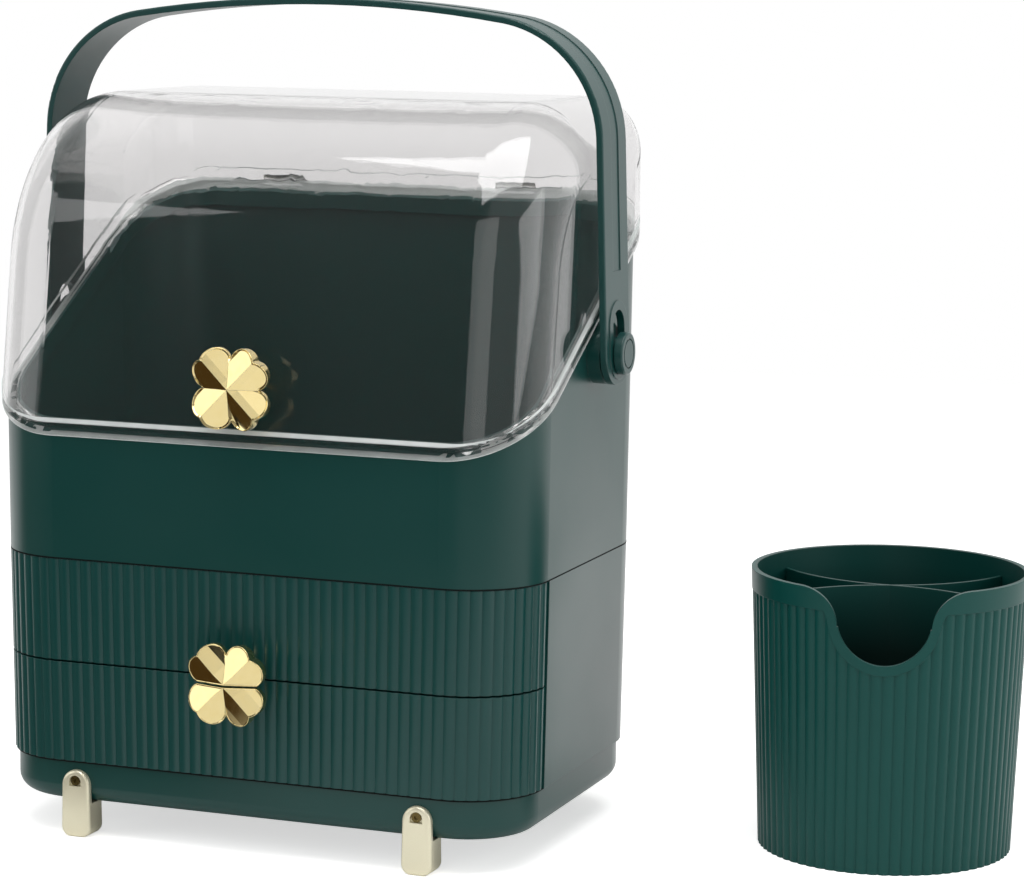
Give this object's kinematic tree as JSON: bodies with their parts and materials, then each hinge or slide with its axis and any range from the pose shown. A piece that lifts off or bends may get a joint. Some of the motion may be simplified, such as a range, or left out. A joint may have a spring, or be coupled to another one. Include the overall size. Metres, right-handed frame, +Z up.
{
  "type": "makeup organizer",
  "caption": "Countertop makeup organizer: reeded drawers under an open bin with a hinged clear cover and carrying handle, with a divided fluted brush cup beside it.",
  "frame": {"origin": "on the surface that the feet stand on, under the middle of the case's footprint", "axes": "+Z up, -Y is the front that the drawers open to, +X to the right as seen from the front"},
  "size_m": [0.4305, 0.2014, 0.3492],
  "materials": {
    "case_plastic": "satin moulded",
    "drawer_plastic": "satin moulded, reeded front",
    "handle_plastic": "satin moulded",
    "cup_plastic": "satin moulded",
    "clear_plastic": "clear and glossy",
    "pale_gold": "polished pale gold",
    "champagne_metal": "satin champagne",
    "screw_steel": "plain",
    "bush_plastic": "natural"
  },
  "bodies": {
    "case": {"base_plinth": "case_plastic", "lower_cabinet": "case_plastic", "upper_bin": "case_plastic", "plinth_screws": "screw_steel", "bin_screws": "screw_steel", "foot_front_left": "champagne_metal", "foot_front_right": "champagne_metal", "foot_rear_left": "champagne_metal", "foot_rear_right": "champagne_metal", "foot_screws": "screw_steel", "hinge_pin_left": "screw_steel", "hinge_pin_right": "screw_steel", "pivot_screw_left": "screw_steel", "pivot_screw_right": "screw_steel"},
    "cover": {"dome_cover": "clear_plastic", "dome_knob": "pale_gold", "dome_knob_screw": "screw_steel"},
    "pivot_caps": {"pivot_cap_left": "handle_plastic", "pivot_cap_right": "handle_plastic", "pivot_bush_left": "bush_plastic", "pivot_bush_right": "bush_plastic"},
    "carrying_handle": {"handle": "handle_plastic"},
    "upper_drawer": {"drawer_upper": "drawer_plastic", "drawer_knob_upper": "pale_gold", "drawer_knob_screw_upper": "screw_steel"},
    "lower_drawer": {"drawer_lower": "drawer_plastic", "drawer_knob_lower": "pale_gold", "drawer_knob_screw_lower": "screw_steel"},
    "cup": {"brush_cup": "cup_plastic", "cup_divider": "cup_plastic"}
  },
  "joints": [
    {"name": "cover_hinge", "type": "hinge", "parent": "case", "child": "cover", "pos_m": [0, 0.08737, 0.26403], "axis": [-1, 0, 0], "range_deg": [0, 52]},
    {"name": "handle_swing", "type": "hinge", "parent": "case", "child": "pivot_caps", "pos_m": [0, 0.0074, 0.2056], "axis": [1, 0, 0], "range_deg": [0, 119.7]},
    {"name": "handle_drop", "type": "slide", "parent": "pivot_caps", "child": "carrying_handle", "axis": [0, 0, 1], "range_m": [-0.011, 0]},
    {"name": "upper_drawer_slide", "type": "slide", "parent": "case", "child": "upper_drawer", "axis": [0, -1, 0], "range_m": [0, 0.11]},
    {"name": "lower_drawer_slide", "type": "slide", "parent": "case", "child": "lower_drawer", "axis": [0, -1, 0], "range_m": [0, 0.11]},
    {"name": "cup_lift", "type": "slide", "parent": "case", "child": "cup", "axis": [0, 0, 1], "range_m": [0, 0.13]}
  ],
  "couplings": [
    {"joint": "handle_swing", "follows": "cover_hinge", "ratio": 2.3}
  ]
}
